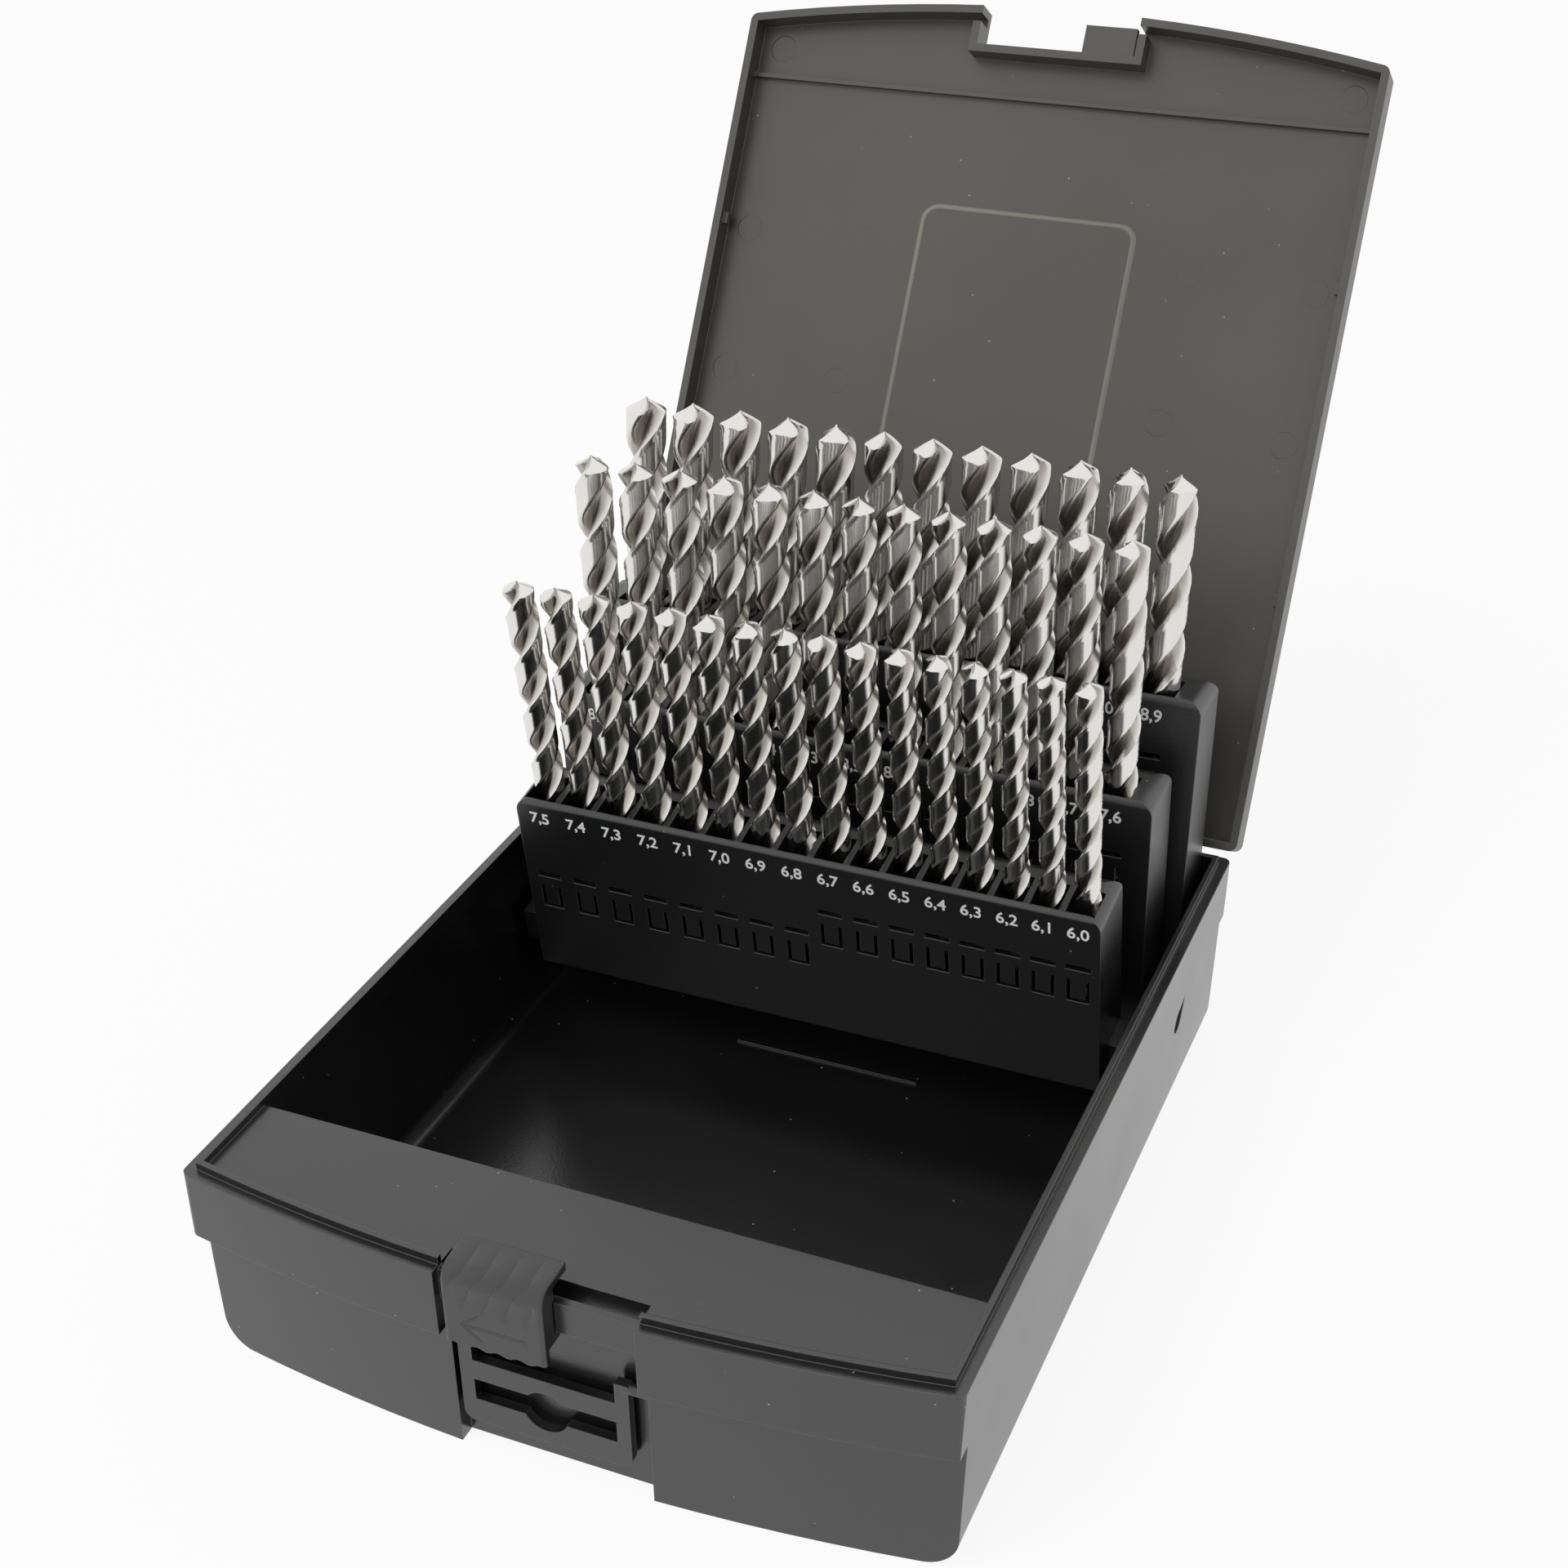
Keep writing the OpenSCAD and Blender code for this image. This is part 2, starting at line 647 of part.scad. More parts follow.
module hanger_tab() {
    color(black) union() {
        translate([tab_x, tab_y + tab_t / 2, 0]) rotate([90, 0, 0]) linear_extrude(tab_t) difference() {
            translate([-tab_w / 2, tab_low]) soft_rect([tab_w, tab_z + stub_r - tab_low], [2.5, 2.5, 0, 0]);
            translate([post_w - tab_w / 2, crossbar[1]]) square([tab_w - 2 * post_w, tab_z]);
            translate([post_w - tab_w / 2, slot_low]) square([tab_w - 2 * post_w, crossbar[0] - slot_low]);
            translate([0, slot_low + 2]) circle(r = slot_r);
        }
        for (hand = [-1, 1]) {
            root = tab_x + hand * (tab_w / 2 - OVER);
            reach = hand * (recess_half + stub_in - stub_end);
            rod(min(root, reach), max(root, reach), tab_y, tab_z, stub_r);
        }
    }
}

base_shell();
lid();
hinge_pin(-1);  // left_hinge_pin
hinge_pin(1);  // right_hinge_pin
latch_slider();
hanger_tab();
rack(0);  // front_rack
rack(1);  // middle_rack
rack(2);  // rear_rack
rack_arms(0);  // front_rack_arms
rack_arms(2);  // rear_rack_arms
rack_pins(0);  // front_rack_pins
rack_pins(1);  // middle_rack_pins
rack_pins(2);  // rear_rack_pins
for (row = [0 : rack_n - 1]) for (i = [0 : rack_count[row] - 1])
    drill(row, i);
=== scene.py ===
"""Looks for a hinged twist drill case: plastics, ground steel drills, printed sizes, catch and studio."""

import json
from math import cos, pi, radians, sin, tan

import bmesh
import bpy
import numpy as np
from bpy.props import FloatProperty, FloatVectorProperty, PointerProperty
from mathutils import Matrix, Vector

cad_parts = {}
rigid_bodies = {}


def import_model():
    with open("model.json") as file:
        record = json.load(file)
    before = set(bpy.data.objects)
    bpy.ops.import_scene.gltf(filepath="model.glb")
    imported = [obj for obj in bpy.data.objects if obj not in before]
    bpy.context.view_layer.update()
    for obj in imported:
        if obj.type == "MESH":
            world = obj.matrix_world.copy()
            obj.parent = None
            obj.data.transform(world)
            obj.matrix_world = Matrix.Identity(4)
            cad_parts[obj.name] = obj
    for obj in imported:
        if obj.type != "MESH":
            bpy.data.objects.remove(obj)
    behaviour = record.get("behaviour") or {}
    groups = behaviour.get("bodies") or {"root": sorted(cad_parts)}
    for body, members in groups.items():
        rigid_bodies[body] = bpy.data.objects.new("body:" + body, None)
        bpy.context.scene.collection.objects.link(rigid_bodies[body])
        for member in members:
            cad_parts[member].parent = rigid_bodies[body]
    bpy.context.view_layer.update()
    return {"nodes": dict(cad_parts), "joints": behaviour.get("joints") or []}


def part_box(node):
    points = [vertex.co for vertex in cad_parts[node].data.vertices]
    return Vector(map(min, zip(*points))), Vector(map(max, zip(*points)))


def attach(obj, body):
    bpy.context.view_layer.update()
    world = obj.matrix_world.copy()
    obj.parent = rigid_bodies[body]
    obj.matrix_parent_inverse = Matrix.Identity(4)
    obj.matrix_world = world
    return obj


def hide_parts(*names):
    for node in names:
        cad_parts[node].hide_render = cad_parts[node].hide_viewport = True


bl_info = {
    "name": "Drill bit case",
    "version": (1, 0, 0),
    "blender": (4, 5, 0),
    "location": "3D View > Sidebar > Drill Case",
    "description": "Finishes for a hinged case with three folding racks of twist drills",
    "category": "Object",
}

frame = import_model()

MM = 0.001
# Each rack: CAD node, lean in degrees, front foot edge (y, z) and height in millimetres.
RACKS = (
    ("front_rack", 8.0, (32.81, 19.01), 52.5),
    ("middle_rack", 2.0, (56.79, 19.04), 65.5),
    ("rear_rack", -5.0, (73.02, 14.32), 83.5),
)
# Where the camera stood and what it saw, fitted to the corners of the case.
CAMERA_PLACE = (0.18395, -0.40008, 0.36513)
CAMERA_RIGHT = (0.92009, 0.39134, -0.01738)
CAMERA_UP = (-0.18589, 0.47526, 0.86000)
CAMERA_LENS = 55.94
# The lid's inside when shut: how far its back edge is from the hinge, and how far it is above the hinge.
LID_BACK, LID_INSIDE = 2.0, 7.6
# The raised panel inside the lid: half width, near and far edge from the lid's back, and corner radius.
PANEL_HALF, PANEL_NEAR, PANEL_FAR, PANEL_CORNER = 28.0, 43.0, 149.0, 4.0
# How far the panel's border is sunk into the panel, in metres.
BORDER_SINK = 0.00005
# Marks of the ejector pins on the inside of the lid: across it and up it from its back edge.
EJECTOR_MARKS = (
    (75.5, 138.0), (75.0, 100.3), (43.7, 139.5), (43.3, 101.6), (-43.2, 138.5), (-43.5, 101.0),
    (75.6, 186.0), (-75.6, 186.0), (-75.5, 138.0), (-75.0, 100.3), (0.0, 30.0))
# Radius of such a mark and half the width of its ring, in metres.
MARK_RADIUS, MARK_RIM = 0.0033, 0.0003
# The catch's arrow: tail, tip and the ends of its two barbs, across and above in millimetres.
ARROW_TAIL, ARROW_TIP, ARROW_BARBS = (18.0, 39.6), (4.2, 39.6), ((8.0, 42.6), (8.0, 36.6))
# Plastic, by material: its roughness.
ROUGHNESS = {
    "case_plastic": 0.24, "hanger_plastic": 0.28, "lid_plastic": 0.38, "rack_plastic": 0.36,
    "pin_plastic": 0.4, "catch_plastic": 0.38, "border_painted_highlight": 0.2}
# Pale grey mixed into the edges of the plastic: a painted highlight.
EDGE_HIGHLIGHT_COLOUR = (0.22, 0.22, 0.22)
DUST_COLOUR = (0.42, 0.40, 0.37)
WIRE_COLOUR = (0.55, 0.55, 0.54)
# How much lighter than the lid its panel's border is: a painted highlight along the border.
BORDER_HIGHLIGHT_GAIN = 4
# How far the print stands off its rack and how thick it is, in metres.
PRINT_LIFT, PRINT_HALF = 0.00002, 0.00003
# The key light: where it is, where it points and its two sides in metres.
KEY_PLACE, KEY_TARGET, KEY_SIDES = (-0.7, -1.1, 1.5), (0, 0, 0.06), (1.6, 1.2)
# Share of the floor's white that the eye sees; its shadow is the rest.
FLOOR_GLOW = 0.9


class PlasticLook(bpy.types.PropertyGroup):
    """Colours of the moulded pieces."""

    shell_colour: FloatVectorProperty(
        name="Shell", description="Case bottom, hanger tab and catch", subtype="COLOR",
        size=3, min=0, max=1, default=(0.0085, 0.0086, 0.0090))
    # The lid is several times lighter than the shell: partly the lid's warmer tone, partly a painted
    # sheen.
    lid_colour_and_sheen: FloatVectorProperty(
        name="Lid", description="Both sides of the lid", subtype="COLOR",
        size=3, min=0, max=1, default=(0.0400, 0.0370, 0.0305))
    rack_colour: FloatVectorProperty(
        name="Racks", description="The three folding racks and their pins", subtype="COLOR",
        size=3, min=0, max=1, default=(0.0075, 0.0078, 0.0085))
    print_colour: FloatVectorProperty(
        name="Print", description="Printed sizes", subtype="COLOR",
        size=3, min=0, max=1, default=(0.86, 0.87, 0.86))
    grain_size: FloatProperty(
        name="Grain", description="Width of one grain of the moulded surface",
        subtype="DISTANCE", unit="LENGTH", min=0.0001, max=0.002, default=0.0005)
    edge_radius: FloatProperty(
        name="Edge", description="Roundness that the edges show",
        subtype="DISTANCE", unit="LENGTH", min=0.0001, max=0.001, default=0.00035)


class CatchLook(bpy.types.PropertyGroup):
    """Shape of the sliding catch and the panel's border."""

    rib_pitch: FloatProperty(
        name="Rib pitch", description="From one finger rib to the next",
        subtype="DISTANCE", unit="LENGTH", min=0.002, max=0.008, default=0.0046)
    rib_depth: FloatProperty(
        name="Rib depth", description="Depth of the grooves between the ribs",
        subtype="DISTANCE", unit="LENGTH", min=0, max=0.001, default=0.0006)
    end_radius: FloatProperty(
        name="Ends", description="Radius of the catch's ends",
        subtype="DISTANCE", unit="LENGTH", min=0.0002, max=0.002, default=0.001)
    arrow_depth: FloatProperty(
        name="Arrow depth", description="Depth of the engraved arrow",
        subtype="DISTANCE", unit="LENGTH", min=0, max=0.001, default=0.0003)
    bead_width: FloatProperty(
        name="Bead width", description="Width of the border of the lid's panel",
        subtype="DISTANCE", unit="LENGTH", min=0.0005, max=0.003, default=0.0018)
    bead_height: FloatProperty(
        name="Bead height", description="Height of the border of the lid's panel",
        subtype="DISTANCE", unit="LENGTH", min=0.0002, max=0.002, default=0.0005)


class DrillLook(bpy.types.PropertyGroup):
    """Shape and colours of the twist drills."""

    steel_colour: FloatVectorProperty(
        name="Lands", description="Ground lands of a drill", subtype="COLOR",
        size=3, min=0, max=1, default=(0.78, 0.765, 0.74))
    flute_colour: FloatVectorProperty(
        name="Flutes", description="Floor of a flute", subtype="COLOR",
        size=3, min=0, max=1, default=(0.46, 0.43, 0.39))
    pitch: FloatProperty(
        name="Pitch", description="One turn of the helix, in drill diameters",
        min=2.5, max=7, default=3.7)
    web: FloatProperty(
        name="Web", description="Radius left at the floor of a flute, as a share of the drill's",
        min=0.2, max=0.7, default=0.32)
    margin: FloatProperty(
        name="Margin", description="How far the land is set back behind its margin, as a share",
        min=0, max=0.1, default=0.035)
    point: FloatProperty(
        name="Point", description="Half the angle of the point",
        subtype="ANGLE", unit="ROTATION", min=radians(45), max=radians(75), default=radians(59))


class StudioLook(bpy.types.PropertyGroup):
    """Light levels and the floor."""

    room_level: FloatProperty(
        name="Room", description="Level of the light from all sides", min=0, max=2, default=0.55)
    key_power: FloatProperty(
        name="Key", description="Power of the soft key light in watts", min=0, max=200, default=20)
    floor_colour: FloatVectorProperty(
        name="Floor", description="Colour of the floor", subtype="COLOR",
        size=3, min=0, max=1, default=(0.92, 0.92, 0.92))


class Value:
    """One output socket of a material; arithmetic on it adds Math nodes."""

    def __init__(self, nodes, socket):
        self.nodes = nodes
        self.socket = socket

    def maths(self, operation, *terms):
        return self.nodes.node("ShaderNodeMath", {"operation": operation}, dict(enumerate(terms)))

    def __add__(self, other):
        return self.maths("ADD", self, other)

    def __sub__(self, other):
        return self.maths("SUBTRACT", self, other)

    def __rsub__(self, other):
        return self.maths("SUBTRACT", other, self)

    def __mul__(self, other):
        return self.maths("MULTIPLY", self, other)

    __radd__ = __add__
    __rmul__ = __mul__

    def rise(self, low, high):
        """0 below low, 1 above high and a smooth step between them."""
        return self.nodes.node(
            "ShaderNodeMapRange", {"interpolation_type": "SMOOTHSTEP"},
            {"Value": self, "From Min": low, "From Max": high})


class Nodes:
    """A node tree, to which nodes are added one by one."""

    def __init__(self, tree):
        self.tree = tree

    def node(self, kind, settings=None, inputs=None, output=0):
        """Adds a node: its settings first, then the values or links of its sockets."""
        made = self.tree.nodes.new(kind)
        for key, value in (settings or {}).items():
            setattr(made, key, value)
        for key, value in (inputs or {}).items():
            if isinstance(value, Value):
                self.tree.links.new(value.socket, made.inputs[key])
            else:
                made.inputs[key].default_value = value
        return Value(self, made.outputs[output])


class Finish(Nodes):
    """A material with its shader."""

    def __init__(self, name, **constants):
        self.material = bpy.data.materials.new(name)
        self.material.use_nodes = True
        super().__init__(self.material.node_tree)
        self.shader = self.tree.nodes["Principled BSDF"]
        for key, value in constants.items():
            self.shader.inputs[key.replace("_", " ").title().replace("Ior", "IOR")].default_value = value

    def place(self):
        return self.node("ShaderNodeTexCoord", output="Object")

    def noise(self, vector, scale, detail=2.0, roughness=0.5):
        return self.node("ShaderNodeTexNoise", None, {
            "Vector": vector, "Scale": scale, "Detail": detail, "Roughness": roughness})

    def attribute(self, name):
        return self.node("ShaderNodeAttribute", {"attribute_name": name}, output="Fac")

    def mix(self, share, start, end):
        """Colour between start and end by share."""
        return self.node("ShaderNodeMix", {"data_type": "RGBA"}, {0: share, 6: start, 7: end}, 2)

    def edge(self, radius):
        """Normal that rounds the edges, and how much it leaves the true normal."""
        rounded = self.node("ShaderNodeBevel", {"samples": 4}, {"Radius": radius})
        true = self.node("ShaderNodeNewGeometry", output="Normal")
        facing = self.node("ShaderNodeVectorMath", {"operation": "DOT_PRODUCT"}, {0: rounded, 1: true}, 1)
        return rounded, (1 - facing).rise(0.01, 0.2)

    def bump(self, height, strength, distance, normal=None):
        sockets = {"Strength": strength, "Distance": distance, "Height": height}
        if normal:
            sockets["Normal"] = normal
        return self.node("ShaderNodeBump", None, sockets)

    def feed(self, **sockets):
        for key, value in sockets.items():
            self.tree.links.new(value.socket, self.shader.inputs[key.replace("_", " ").title()])
        return self.material


def lid_axes():
    """Back edge of the lid's inside at rest, and unit vectors across it, up it and out through it."""
    hinge = next(j for j in frame["joints"] if j["name"] == "lid_hinge")
    turn = radians(-min(hinge["range_deg"]))
    along = np.array([0.0, -cos(turn), sin(turn)])
    out = np.array([0.0, sin(turn), cos(turn)])
    origin = np.array(hinge["pos_m"]) + (LID_BACK * along + LID_INSIDE * out) * MM
    return origin, np.array([1.0, 0.0, 0.0]), along, out


def rgba(colour, level=1.0):
    return (colour[0] * level, colour[1] * level, colour[2] * level, 1.0)


def moulded_plastic(name, colour, look, marks=None):
    """Satin moulded plastic: fine grain, faint flow mottling, edges lightened as a painted highlight, and
    specks of dust.
    """
    finish = Finish(name, specular_ior_level=1.0)
    place = finish.place()
    grain = finish.noise(place, 1 / look.grain_size, 2.0, 0.6)
    flow = finish.noise(place, 16.0, 3.0, 0.55)
    rounded, edge_highlight = finish.edge(look.edge_radius)
    dust = speckle(finish, place)
    base = finish.mix(flow.rise(0.3, 0.7), rgba(colour, 0.86), rgba(colour, 1.12))
    # Painted highlight: the edges are lightened towards a pale grey.
    base = finish.mix(edge_highlight * 0.35, base, rgba(EDGE_HIGHLIGHT_COLOUR))
    base = finish.mix(dust, base, rgba(DUST_COLOUR))
    height = grain if marks is None else grain * 0.5 + marks(finish, place)
    return finish.feed(
        base_color=base,
        roughness=(flow - 0.5) * 0.16 + (ROUGHNESS[name] - 0.06 * edge_highlight) + dust * 0.3,
        normal=finish.bump(height, 0.25, 0.00012, rounded))


def speckle(finish, place):
    """Small specks: the middles of the cells of a Voronoi pattern, where a second noise is high."""
    near = finish.node("ShaderNodeTexVoronoi", None, {"Vector": place, "Scale": 210.0}, "Distance")
    patch = finish.noise(place, 260.0, 0.0)
    return (1 - near.rise(0.02, 0.07)) * patch.rise(0.56, 0.59) * 0.7


def ground_steel(name, look):
    """Ground steel: lines round the lands, lines along the flutes, which are duller and smoky."""
    finish = Finish(name, metallic=1.0)
    along, round_, flute = (finish.attribute(a) for a in ("along", "round", "flute"))
    land_lines = finish.node("ShaderNodeCombineXYZ", None, {0: along * 9000.0, 1: round_ * 1.2})
    flute_lines = finish.node("ShaderNodeCombineXYZ", None, {0: along * 160.0, 1: round_ * 26.0})
    land_grind = finish.noise(land_lines, 1.0, 2.0)
    flute_grind = finish.noise(flute_lines, 1.0, 3.0)
    smoke = finish.noise(finish.place(), 90.0, 3.0)
    floor = finish.mix(smoke.rise(0.35, 0.7), rgba(look.flute_colour), rgba(look.flute_colour, 0.55))
    base = finish.mix(flute, rgba(look.steel_colour), floor)
    grind = land_grind * (1 - flute) + flute_grind * flute
    return finish.feed(
        base_color=base,
        roughness=0.15 + grind * 0.1 + flute * 0.08,
        normal=finish.bump(grind, 0.12, 0.00003))


def drawn_wire(name, colour):
    """Drawn wire of the hinge pins: dull lines round it."""
    finish = Finish(name, metallic=1.0)
    lines = finish.noise(finish.place(), 2600.0, 2.0)
    return finish.feed(
        base_color=finish.mix(lines, rgba(colour, 0.8), rgba(colour)),
        roughness=0.28 + lines * 0.15,
        normal=finish.bump(lines, 0.2, 0.00004))


def print_ink(name, colour):
    """Stamped foil: matt white with thin spots where it took badly."""
    finish = Finish(name)
    spots = finish.noise(finish.place(), 2400.0, 2.0)
    return finish.feed(
        base_color=finish.mix(spots.rise(0.62, 0.78), rgba(colour), rgba(colour, 0.55)),
        roughness=0.45 + spots * 0.2)


def grid_mesh(name, points, caps=True):
    """Mesh of a closed strip: points[ring, point] is a grid whose second way closes on itself.
    Face (j, k) joins points k and k + 1 of rings j and j + 1; the caps are the first and last ring."""
    rings, count = points.shape[:2]
    first = np.arange(rings - 1)[:, None] * count + np.arange(count)
    following = np.arange(rings - 1)[:, None] * count + (np.arange(count) + 1) % count
    quads = np.stack([first, following, following + count, first + count], -1).reshape(-1, 4).tolist()
    if caps:
        quads += [list(range(count))[::-1], list(range((rings - 1) * count, rings * count))]
    mesh = bpy.data.meshes.new(name)
    mesh.from_pydata(points.reshape(-1, 3).tolist(), [], quads)
    mesh.shade_smooth()
    return mesh


def add_piece(name, mesh, material, body, replaced=()):
    piece = bpy.data.objects.new(name, mesh)
    bpy.context.scene.collection.objects.link(piece)
    mesh.materials.append(material)
    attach(piece, body)
    if replaced:
        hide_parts(*replaced)
    return piece


def dress(material, *nodes):
    """Gives CAD nodes a material and leaves their meshes alone."""
    for node in nodes:
        mesh = frame["nodes"][node].data
        if not mesh.materials:
            mesh.materials.append(material)
        for index in range(len(mesh.materials)):
            mesh.materials[index] = material


def node_points(node):
    mesh = frame["nodes"][node].data
    points = np.empty(len(mesh.vertices) * 3, np.float32)
    mesh.vertices.foreach_get("co", points)
    return points.reshape(-1, 3).astype(float)


def lean_axis(lean):
    """Unit vector up a rack that leans forward by lean degrees."""
    return np.array([0.0, -sin(radians(lean)), cos(radians(lean))])


def rack_drills(rack):
    """Names of the drill nodes in a rack, the thickest first."""
    names = {j["child"] for j in frame["joints"] if j["parent"] == rack}
    return sorted((n for n in names if n.startswith("drill_")), key=size_of, reverse=True)


def size_of(node):
    """Diameter in a drill node's name: drill_7_5 is 7.5."""
    whole, tenths = node.split("_")[1:]
    return int(whole) + int(tenths) / 10


def drill_section(angle, look):
    """Share of the radius at an angle in a half turn, from 0 at the cutting edge to 1.
    A margin at full size, a land set back behind it, and a flute that falls as a cosine to the web
    and climbs steeply back to the next edge."""
    land_end, floor_at = 0.5, 0.77
    fall = np.clip((angle - land_end) / (floor_at - land_end), 0, 1)
    climb = np.clip((angle - floor_at) / (1 - floor_at), 0, 1)
    land = 1 - look.margin * np.clip((angle - 0.05) / 0.03, 0, 1)
    down = look.web + (land - look.web) * (0.5 + 0.5 * np.cos(pi * fall))
    return np.where(angle < floor_at, down, look.web + (1 - look.web) * climb ** 1.3)


def drill_mesh(name, node, axis, diameter, look):
    """Twist drill: the section turned evenly along the axis, which makes the helix, and cut by the cone
    of the point, whose flanks fall away behind each cutting edge. Radius = least of section and cone."""
    body_rings, point_rings, around = 84, 14, 48
    flank, flank_fall, chisel, chisel_end = 1.25, 0.14, 0.06, 0.05
    cad = node_points(node)
    heights = cad @ axis
    foot = cad[heights < heights.min() + 0.00002].mean(0)
    length = heights.max() - heights.min()
    radius = diameter / 2
    tip = radius / tan(look.point) * flank
    body = np.linspace(0, length - tip, body_rings)
    point = length - tip * (1 - np.linspace(0, 1, point_rings + 1)[1:]) ** 1.15
    height = np.concatenate([body, point])[:, None]
    share = np.arange(around)[None, :] / (around / 2)
    half = share % 1
    cone = (length - height - flank_fall * radius * half) * tan(look.point)
    section = drill_section(half, look) * radius
    reach = np.maximum(np.minimum(section, cone), chisel * radius)
    reach[-1] = chisel_end * radius
    angle = pi * share + 2 * pi * height / (look.pitch * diameter)
    side = np.array([1.0, 0.0, 0.0])
    front = np.cross(axis, side)
    points = (foot + height[..., None] * axis + (reach * np.cos(angle))[..., None] * side
              + (reach * np.sin(angle))[..., None] * front)
    mesh = grid_mesh(name, points)
    mesh.set_sharp_from_angle(angle=radians(38))
    depth = np.clip(((1 - look.margin) * radius - section) / (radius * (1 - look.web)), 0, 1)
    for label, field in (("along", height + 0 * half), ("round", half + 0 * height),
                         ("flute", np.clip(depth * 2.2, 0, 1) + 0 * height)):
        data = mesh.attributes.new(label, "FLOAT", "POINT").data
        data.foreach_set("value", np.ascontiguousarray(field, np.float32).ravel())
    return mesh


def panel_frame_mesh(name, look):
    """Rounded border of the lid's panel: a low bead carried round a rectangle with round corners.
    The bead's height is half a sine across its width."""
    origin, across, along, out = lid_axes()
    corner = np.linspace(0, pi / 2, 9)
    half, near, far, radius = (v * MM for v in (PANEL_HALF, PANEL_NEAR, PANEL_FAR, PANEL_CORNER))
    path, turns = [], []
    for k, (x, y) in enumerate(((half, far), (-half, far), (-half, near), (half, near))):
        angle = corner + k * pi / 2
        centre = np.array([x - np.sign(x) * radius, y + (radius if y == near else -radius)])
        path.append(centre + radius * np.stack([np.cos(angle), np.sin(angle)], -1))
        turns.append(angle)
    path, turns = np.concatenate(path), np.concatenate(turns)
    sides = np.linspace(-1, 1, 9)
    reach = path[:, None, :] + (look.bead_width / 2 * sides)[None, :, None] * np.stack(
        [np.cos(turns), np.sin(turns)], -1)[:, None, :]
    rise = look.bead_height * np.cos(sides * pi / 2)
    points = (origin + reach[..., :1] * across + reach[..., 1:] * along
              - (rise - BORDER_SINK)[None, :, None] * out)
    return grid_mesh(name, points.transpose(1, 0, 2)[::-1], caps=False)


def number_mesh(name, rows, height):
    """Printed sizes of one rack: each number is thin text laid on the rack's front face."""
    stroke_gain = 0.015
    joined = bmesh.new()
    for text, place in rows:
        curve = bpy.data.curves.new(name, "FONT")
        curve.body = text
        curve.size = height
        curve.extrude = PRINT_HALF
        curve.offset = height * stroke_gain
        curve.align_x = "CENTER"
        curve.align_y = "CENTER"
        curve.resolution_u = 3
        letters = bpy.data.objects.new(name, curve)
        flat = bpy.data.meshes.new_from_object(letters)
        flat.transform(place)
        joined.from_mesh(flat)
        bpy.data.objects.remove(letters)
        bpy.data.curves.remove(curve)
        bpy.data.meshes.remove(flat)
    mesh = bpy.data.meshes.new(name)
    joined.to_mesh(mesh)
    joined.free()
    return mesh


def catch_section():
    """The catch's section in millimetres, (depth, height): up the front, round the shoulder, back along
    the top and round the hooks that run on the rail. Also how much of each point is the front."""
    face, foot, top, radius, rear_edge = -106.0, 34.0, 52.6, 4.0, -95.6
    heel, plate_under = -101.1, 50.6
    rail_front, rail_over, rail_under = -101.8, 47.7, 39.7
    arm_front, arm_rear, arm_top = -99.2, -97.9, 45.0
    sill_under, skin = 37.7, -104.2
    on_front, on_shoulder, on_top = 75, 20, 8
    climb = np.linspace(foot, top - radius, on_front)
    turn = np.linspace(0, pi / 2, on_shoulder + 1)[1:]
    back = np.linspace(face + radius, rear_edge, on_top + 1)[1:]
    front = np.stack([np.full(on_front, face), climb], -1)
    shoulder = np.stack([face + radius * (1 - np.cos(turn)), top - radius * (1 - np.sin(turn))], -1)
    rear = np.stack([back, np.full(on_top, top)], -1)
    hooks = np.array([(rear_edge, plate_under), (heel, plate_under), (heel, rail_over),
                      (rail_front, rail_over), (rail_front, rail_under), (arm_front, rail_under),
                      (arm_front, arm_top), (arm_rear, arm_top), (arm_rear, sill_under),
                      (skin, sill_under), (skin, foot)])
    hidden = np.zeros(len(hooks))
    angle = np.concatenate([np.zeros(on_front), turn, np.full(on_top, pi / 2), hidden])
    share = np.concatenate([np.ones(on_front + on_shoulder), np.linspace(0.8, 0, on_top), hidden])
    return np.concatenate([front, shoulder, rear, hooks]), angle, share


def catch_mesh(name, look):
    """Sliding catch: its section carried across its width and pushed in along its normal by the grooves
    between slanted finger ribs, by an arrow and by the round of both ends. The lower edge waves."""
    left, width, on_end, on_width = -18.5, 22.0, 9, 140
    slant, grip_from, grip_fade, wave_height, wave_from = 0.35, 43.2, 3.0, 0.3, 38.0
    section, angle, share = catch_section()
    round_ = look.end_radius / MM
    x = np.concatenate([round_ * (1 - np.cos(np.linspace(0, pi / 2, on_end))),
                        np.linspace(round_, width - round_, on_width)[1:-1],
                        width - round_ * (1 - np.cos(np.linspace(pi / 2, 0, on_end)))])[:, None]
    height = section[None, :, 1]
    run = height + 4 * np.sin(angle)[None, :]
    pitch = look.rib_pitch / MM
    phase = (x - slant * (run - 44)) / pitch
    grip = (np.clip((run - grip_from) / grip_fade, 0, 1)
            * np.clip(np.minimum(x, width - x) / 2.0 - 0.4, 0, 1))
    groove = look.rib_depth / MM * grip * (1 - np.abs(np.sin(pi * phase)) ** 0.45)
    strokes = [segment_distance(x, height, ARROW_TIP, end) for end in (ARROW_TAIL, *ARROW_BARBS)]
    arrow = look.arrow_depth / MM * np.clip(1.6 - np.min(strokes, 0) / 0.25, 0, 1) * (angle[None, :] == 0)
    edge = np.clip(1 - np.minimum(x, width - x) / round_, 0, 1)
    ends = round_ * (1 - np.sqrt(1 - edge ** 2))
    inward = (groove + arrow + ends) * share[None, :]
    wave = (wave_height * (1 - np.cos(2 * pi * x / pitch)) * np.clip((wave_from - height) / 4, 0, 1)
            * share[None, :])
    y = section[None, :, 0] + inward * np.cos(angle)[None, :]
    z = height - inward * np.sin(angle)[None, :] + wave
    points = np.stack([left + x + 0 * y, y, z], -1) * MM
    mesh = grid_mesh(name, points[:, ::-1])
    mesh.set_sharp_from_angle(angle=radians(40))
    return mesh


